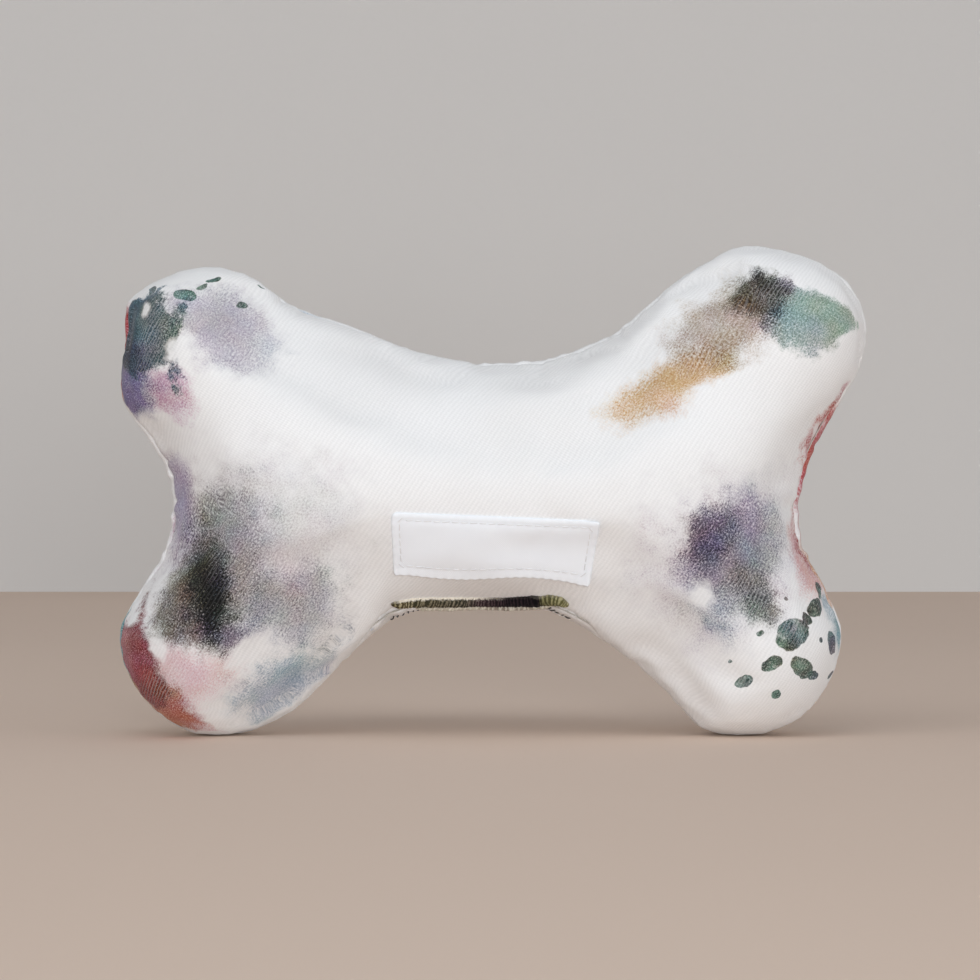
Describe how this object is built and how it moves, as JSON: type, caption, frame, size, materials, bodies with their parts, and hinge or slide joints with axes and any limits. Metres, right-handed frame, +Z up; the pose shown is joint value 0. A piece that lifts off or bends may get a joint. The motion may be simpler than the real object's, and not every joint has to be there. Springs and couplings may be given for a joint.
{
  "type": "squeaky_dog_toy",
  "caption": "Bone-shaped stuffed squeaky dog toy in printed white cotton twill, with a sewn-on label, a hand-closed seam ridge, fibre fill and a reed squeaker inside",
  "frame": {"origin": "middle of the base of the box, on the surface that the two lower knobs stand on", "axes": "+X along the bone to the right as seen from the front, +Z up, the front with the label faces -Y"},
  "size_m": [0.19, 0.06, 0.1245],
  "materials": {
    "twill_print": "matte",
    "label_cotton": "matte",
    "pale_thread": "satin",
    "dark_thread": "satin",
    "polyester_fibre": "matte",
    "milky_ldpe": "satin",
    "reed_plastic": "satin",
    "reed_film": "gloss"
  },
  "bodies": {
    "cover": {"front_panel": "twill_print", "back_panel": "twill_print", "seam_needle_thread": "pale_thread", "seam_bobbin_thread": "pale_thread", "closing_thread": "dark_thread", "label": "label_cotton", "label_thread": "pale_thread", "stuffing_upper_left": "polyester_fibre", "stuffing_lower_left": "polyester_fibre", "stuffing_upper_right": "polyester_fibre", "stuffing_lower_right": "polyester_fibre", "stuffing_waist": "polyester_fibre", "squeaker_bulb": "milky_ldpe", "reed_holder": "reed_plastic", "reed_seat": "reed_plastic", "reed_wedge": "reed_plastic"},
    "front_pad": {"stuffing_front_pad": "polyester_fibre"},
    "back_pad": {"stuffing_back_pad": "polyester_fibre"},
    "reed": {"squeaker_reed": "reed_film"}
  },
  "joints": [
    {"name": "squeeze_front", "type": "slide", "parent": "cover", "child": "front_pad", "axis": [0, 1, 0], "range_m": [0, 0.008], "stiffness_N_per_m": 250, "deforming": ["front_panel", "back_panel", "label", "label_thread", "closing_thread", "seam_needle_thread", "seam_bobbin_thread", "stuffing_upper_left", "stuffing_lower_left", "stuffing_upper_right", "stuffing_lower_right", "stuffing_waist", "squeaker_bulb"]},
    {"name": "squeeze_back", "type": "slide", "parent": "cover", "child": "back_pad", "axis": [0, -1, 0], "range_m": [0, 0.008], "stiffness_N_per_m": 250},
    {"name": "reed_flutter", "type": "hinge", "parent": "cover", "child": "reed", "pos_m": [0.02952, 0, 0.06412], "axis": [0, 1, 0], "range_deg": [-1.5, 4], "stiffness_Nm_per_rad": 0.00002}
  ],
  "couplings": [
    {"joint": "squeeze_back", "follows": "squeeze_front", "ratio": 1}
  ]
}
